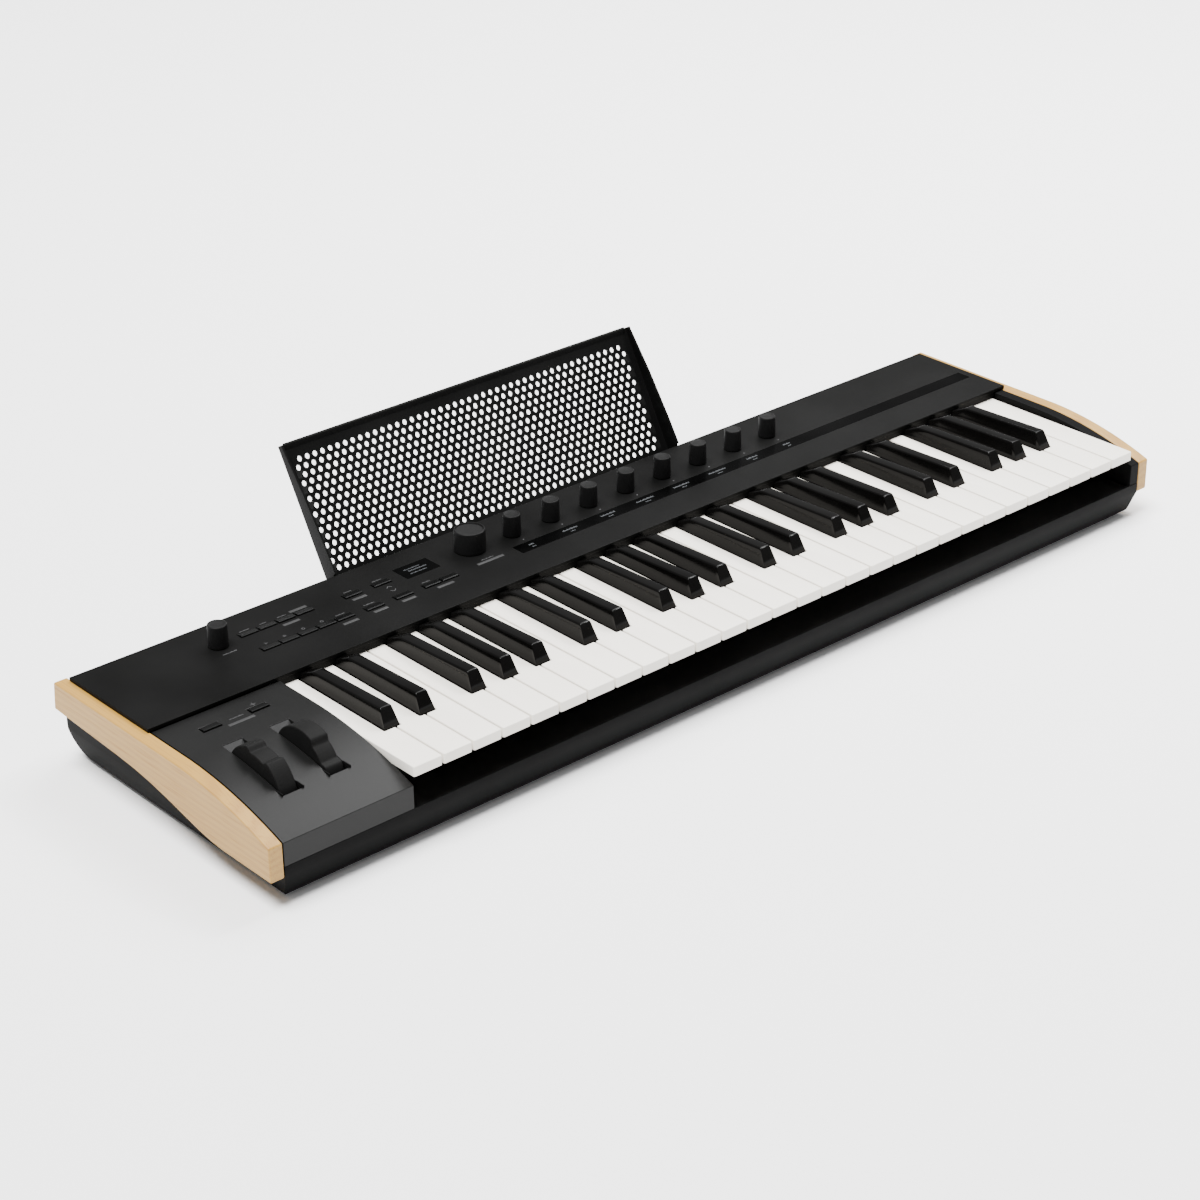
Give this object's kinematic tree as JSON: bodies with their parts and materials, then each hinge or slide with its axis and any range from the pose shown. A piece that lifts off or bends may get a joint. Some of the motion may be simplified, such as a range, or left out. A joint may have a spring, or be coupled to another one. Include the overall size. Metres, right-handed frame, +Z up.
{
  "type": "synthesizer",
  "caption": "Black keyboard synthesizer with curved wooden cheeks, full size keys, round control knobs, two performance wheels and a perforated leaning music stand",
  "frame": {"origin": "centre of the whole object's box in plan, on the surface that the feet stand on", "axes": "+X towards the high keys at the player's right, +Y away from the player, +Z up"},
  "size_m": [0.809, 0.2852, 0.143],
  "materials": {
    "case_plastic": "fine grained black moulding",
    "cheek_wood": "light wood with open grain, oiled",
    "wheel_panel_plastic": "dark grey satin moulding",
    "panel_metal": "black satin powder coat",
    "window_gloss": "smoked gloss window",
    "key_white": "white satin to gloss moulding",
    "key_black": "black satin moulding",
    "control_plastic": "black moulding",
    "stand_metal": "black powder coat on perforated sheet",
    "frame_steel": "plain",
    "circuit_board": "green lacquer",
    "foot_rubber": "plain"
  },
  "bodies": {
    "root": {"bottom_case": "case_plastic", "left_cheek": "cheek_wood", "right_cheek": "cheek_wood", "wheel_panel": "wheel_panel_plastic", "right_end_block": "case_plastic", "top_panel": "panel_metal", "display_window": "window_gloss", "strip_window": "window_gloss", "key_frame": "frame_steel", "key_contact_board": "circuit_board", "main_board": "circuit_board", "jack_board": "circuit_board", "wheel_bracket": "frame_steel", "foot_front_left": "foot_rubber", "foot_front_right": "foot_rubber", "foot_rear_left": "foot_rubber", "foot_rear_right": "foot_rubber"},
    "pitch_wheel": {"pitch_wheel": "control_plastic"},
    "mod_wheel": {"mod_wheel": "control_plastic"},
    "music_stand": {"music_stand": "stand_metal"},
    "black_keys_1": {"black_keys_1": "key_black"},
    "white_keys_cegb_1": {"white_keys_cegb_1": "key_white"},
    "white_keys_dfa_1": {"white_keys_dfa_1": "key_white"},
    "black_keys_2": {"black_keys_2": "key_black"},
    "white_keys_cegb_2": {"white_keys_cegb_2": "key_white"},
    "white_keys_dfa_2": {"white_keys_dfa_2": "key_white"},
    "black_keys_3": {"black_keys_3": "key_black"},
    "white_keys_cegb_3": {"white_keys_cegb_3": "key_white"},
    "white_keys_dfa_3": {"white_keys_dfa_3": "key_white"},
    "black_keys_4": {"black_keys_4": "key_black"},
    "white_keys_cegb_4": {"white_keys_cegb_4": "key_white"},
    "white_keys_dfa_4": {"white_keys_dfa_4": "key_white"},
    "white_key_top_c": {"white_key_top_c": "key_white"},
    "knob_volume": {"knob_volume": "control_plastic"},
    "dial_value": {"dial_value": "control_plastic"},
    "knob_1": {"knob_1": "control_plastic"},
    "knob_2": {"knob_2": "control_plastic"},
    "knob_3": {"knob_3": "control_plastic"},
    "knob_4": {"knob_4": "control_plastic"},
    "knob_5": {"knob_5": "control_plastic"},
    "knob_6": {"knob_6": "control_plastic"},
    "knob_7": {"knob_7": "control_plastic"},
    "knob_8": {"knob_8": "control_plastic"},
    "button_upper_a": {"button_upper_a": "control_plastic"},
    "button_upper_b": {"button_upper_b": "control_plastic"},
    "button_upper_c": {"button_upper_c": "control_plastic"},
    "button_upper_d": {"button_upper_d": "control_plastic"},
    "button_lower_a": {"button_lower_a": "control_plastic"},
    "button_lower_b": {"button_lower_b": "control_plastic"},
    "button_lower_c": {"button_lower_c": "control_plastic"},
    "button_lower_d": {"button_lower_d": "control_plastic"},
    "button_lower_e": {"button_lower_e": "control_plastic"},
    "button_exit": {"button_exit": "control_plastic"},
    "button_up": {"button_up": "control_plastic"},
    "button_shift": {"button_shift": "control_plastic"},
    "button_down": {"button_down": "control_plastic"},
    "button_page_left": {"button_page_left": "control_plastic"},
    "button_page_right": {"button_page_right": "control_plastic"},
    "button_octave_down": {"button_octave_down": "control_plastic"},
    "button_octave_up": {"button_octave_up": "control_plastic"}
  },
  "joints": [
    {"name": "bend_wheel_turn", "type": "hinge", "parent": "root", "child": "pitch_wheel", "pos_m": [-0.3637, -0.08035, 0.0435], "axis": [1, 0, 0], "range_deg": [-25, 25], "stiffness_Nm_per_rad": 0.05},
    {"name": "mod_wheel_turn", "type": "hinge", "parent": "root", "child": "mod_wheel", "pos_m": [-0.3287, -0.08035, 0.0435], "axis": [-1, 0, 0], "range_deg": [0, 60]},
    {"name": "music_stand_lift", "type": "slide", "parent": "root", "child": "music_stand", "axis": [0, 0.4939, 0.8695], "range_m": [0, 0.03]},
    {"name": "black_keys_1_press", "type": "hinge", "parent": "root", "child": "black_keys_1", "pos_m": [-0.21455, 0.03145, 0.049], "axis": [1, 0, 0], "range_deg": [0, 4], "stiffness_Nm_per_rad": 2, "springref_deg": -11.46},
    {"name": "white_keys_cegb_1_press", "type": "hinge", "parent": "root", "child": "white_keys_cegb_1", "pos_m": [-0.21455, 0.04745, 0.049], "axis": [1, 0, 0], "range_deg": [0, 3], "stiffness_Nm_per_rad": 2, "springref_deg": -11.46},
    {"name": "white_keys_dfa_1_press", "type": "hinge", "parent": "root", "child": "white_keys_dfa_1", "pos_m": [-0.21455, 0.03945, 0.049], "axis": [1, 0, 0], "range_deg": [0, 3], "stiffness_Nm_per_rad": 2, "springref_deg": -11.46},
    {"name": "black_keys_2_press", "type": "hinge", "parent": "root", "child": "black_keys_2", "pos_m": [-0.05005, 0.03145, 0.049], "axis": [1, 0, 0], "range_deg": [0, 4], "stiffness_Nm_per_rad": 2, "springref_deg": -11.46},
    {"name": "white_keys_cegb_2_press", "type": "hinge", "parent": "root", "child": "white_keys_cegb_2", "pos_m": [-0.05005, 0.04745, 0.049], "axis": [1, 0, 0], "range_deg": [0, 3], "stiffness_Nm_per_rad": 2, "springref_deg": -11.46},
    {"name": "white_keys_dfa_2_press", "type": "hinge", "parent": "root", "child": "white_keys_dfa_2", "pos_m": [-0.05005, 0.03945, 0.049], "axis": [1, 0, 0], "range_deg": [0, 3], "stiffness_Nm_per_rad": 2, "springref_deg": -11.46},
    {"name": "black_keys_3_press", "type": "hinge", "parent": "root", "child": "black_keys_3", "pos_m": [0.11445, 0.03145, 0.049], "axis": [1, 0, 0], "range_deg": [0, 4], "stiffness_Nm_per_rad": 2, "springref_deg": -11.46},
    {"name": "white_keys_cegb_3_press", "type": "hinge", "parent": "root", "child": "white_keys_cegb_3", "pos_m": [0.11445, 0.04745, 0.049], "axis": [1, 0, 0], "range_deg": [0, 3], "stiffness_Nm_per_rad": 2, "springref_deg": -11.46},
    {"name": "white_keys_dfa_3_press", "type": "hinge", "parent": "root", "child": "white_keys_dfa_3", "pos_m": [0.11445, 0.03945, 0.049], "axis": [1, 0, 0], "range_deg": [0, 3], "stiffness_Nm_per_rad": 2, "springref_deg": -11.46},
    {"name": "black_keys_4_press", "type": "hinge", "parent": "root", "child": "black_keys_4", "pos_m": [0.27895, 0.03145, 0.049], "axis": [1, 0, 0], "range_deg": [0, 4], "stiffness_Nm_per_rad": 2, "springref_deg": -11.46},
    {"name": "white_keys_cegb_4_press", "type": "hinge", "parent": "root", "child": "white_keys_cegb_4", "pos_m": [0.27895, 0.04745, 0.049], "axis": [1, 0, 0], "range_deg": [0, 3], "stiffness_Nm_per_rad": 2, "springref_deg": -11.46},
    {"name": "white_keys_dfa_4_press", "type": "hinge", "parent": "root", "child": "white_keys_dfa_4", "pos_m": [0.27895, 0.03945, 0.049], "axis": [1, 0, 0], "range_deg": [0, 3], "stiffness_Nm_per_rad": 2, "springref_deg": -11.46},
    {"name": "white_key_top_c_press", "type": "hinge", "parent": "root", "child": "white_key_top_c", "pos_m": [0.37295, 0.04745, 0.049], "axis": [1, 0, 0], "range_deg": [0, 3], "stiffness_Nm_per_rad": 0.6, "springref_deg": -11.46},
    {"name": "knob_volume_turn", "type": "hinge", "parent": "root", "child": "knob_volume", "pos_m": [-0.3019, 0.05395, 0.072], "axis": [0, 0, 1], "range_deg": [-150, 150]},
    {"name": "dial_value_turn", "type": "hinge", "parent": "root", "child": "dial_value", "pos_m": [-0.0929, 0.05245, 0.072], "axis": [0, 0, 1], "continuous": true},
    {"name": "knob_1_turn", "type": "hinge", "parent": "root", "child": "knob_1", "pos_m": [-0.0563, 0.05095, 0.072], "axis": [0, 0, 1], "continuous": true},
    {"name": "knob_2_turn", "type": "hinge", "parent": "root", "child": "knob_2", "pos_m": [-0.0207, 0.05095, 0.072], "axis": [0, 0, 1], "continuous": true},
    {"name": "knob_3_turn", "type": "hinge", "parent": "root", "child": "knob_3", "pos_m": [0.0149, 0.05095, 0.072], "axis": [0, 0, 1], "continuous": true},
    {"name": "knob_4_turn", "type": "hinge", "parent": "root", "child": "knob_4", "pos_m": [0.0505, 0.05095, 0.072], "axis": [0, 0, 1], "continuous": true},
    {"name": "knob_5_turn", "type": "hinge", "parent": "root", "child": "knob_5", "pos_m": [0.0861, 0.05095, 0.072], "axis": [0, 0, 1], "continuous": true},
    {"name": "knob_6_turn", "type": "hinge", "parent": "root", "child": "knob_6", "pos_m": [0.1217, 0.05095, 0.072], "axis": [0, 0, 1], "continuous": true},
    {"name": "knob_7_turn", "type": "hinge", "parent": "root", "child": "knob_7", "pos_m": [0.1573, 0.05095, 0.072], "axis": [0, 0, 1], "continuous": true},
    {"name": "knob_8_turn", "type": "hinge", "parent": "root", "child": "knob_8", "pos_m": [0.1929, 0.05095, 0.072], "axis": [0, 0, 1], "continuous": true},
    {"name": "press_upper_a", "type": "slide", "parent": "root", "child": "button_upper_a", "axis": [0, 0, -1], "range_m": [0, 0.0008], "stiffness_N_per_m": 200, "springref_m": -0.002},
    {"name": "press_upper_b", "type": "slide", "parent": "root", "child": "button_upper_b", "axis": [0, 0, -1], "range_m": [0, 0.0008], "stiffness_N_per_m": 200, "springref_m": -0.002},
    {"name": "press_upper_c", "type": "slide", "parent": "root", "child": "button_upper_c", "axis": [0, 0, -1], "range_m": [0, 0.0008], "stiffness_N_per_m": 200, "springref_m": -0.002},
    {"name": "press_upper_d", "type": "slide", "parent": "root", "child": "button_upper_d", "axis": [0, 0, -1], "range_m": [0, 0.0008], "stiffness_N_per_m": 200, "springref_m": -0.002},
    {"name": "press_lower_a", "type": "slide", "parent": "root", "child": "button_lower_a", "axis": [0, 0, -1], "range_m": [0, 0.0008], "stiffness_N_per_m": 200, "springref_m": -0.002},
    {"name": "press_lower_b", "type": "slide", "parent": "root", "child": "button_lower_b", "axis": [0, 0, -1], "range_m": [0, 0.0008], "stiffness_N_per_m": 200, "springref_m": -0.002},
    {"name": "press_lower_c", "type": "slide", "parent": "root", "child": "button_lower_c", "axis": [0, 0, -1], "range_m": [0, 0.0008], "stiffness_N_per_m": 200, "springref_m": -0.002},
    {"name": "press_lower_d", "type": "slide", "parent": "root", "child": "button_lower_d", "axis": [0, 0, -1], "range_m": [0, 0.0008], "stiffness_N_per_m": 200, "springref_m": -0.002},
    {"name": "press_lower_e", "type": "slide", "parent": "root", "child": "button_lower_e", "axis": [0, 0, -1], "range_m": [0, 0.0008], "stiffness_N_per_m": 200, "springref_m": -0.002},
    {"name": "press_exit", "type": "slide", "parent": "root", "child": "button_exit", "axis": [0, 0, -1], "range_m": [0, 0.0008], "stiffness_N_per_m": 200, "springref_m": -0.002},
    {"name": "press_up", "type": "slide", "parent": "root", "child": "button_up", "axis": [0, 0, -1], "range_m": [0, 0.0008], "stiffness_N_per_m": 200, "springref_m": -0.002},
    {"name": "press_shift", "type": "slide", "parent": "root", "child": "button_shift", "axis": [0, 0, -1], "range_m": [0, 0.0008], "stiffness_N_per_m": 200, "springref_m": -0.002},
    {"name": "press_down", "type": "slide", "parent": "root", "child": "button_down", "axis": [0, 0, -1], "range_m": [0, 0.0008], "stiffness_N_per_m": 200, "springref_m": -0.002},
    {"name": "press_page_left", "type": "slide", "parent": "root", "child": "button_page_left", "axis": [0, 0, -1], "range_m": [0, 0.0008], "stiffness_N_per_m": 200, "springref_m": -0.002},
    {"name": "press_page_right", "type": "slide", "parent": "root", "child": "button_page_right", "axis": [0, 0, -1], "range_m": [0, 0.0008], "stiffness_N_per_m": 200, "springref_m": -0.002},
    {"name": "press_octave_down", "type": "slide", "parent": "root", "child": "button_octave_down", "axis": [0, 0, -1], "range_m": [0, 0.0008], "stiffness_N_per_m": 200, "springref_m": -0.002},
    {"name": "press_octave_up", "type": "slide", "parent": "root", "child": "button_octave_up", "axis": [0, 0, -1], "range_m": [0, 0.0008], "stiffness_N_per_m": 200, "springref_m": -0.002}
  ]
}
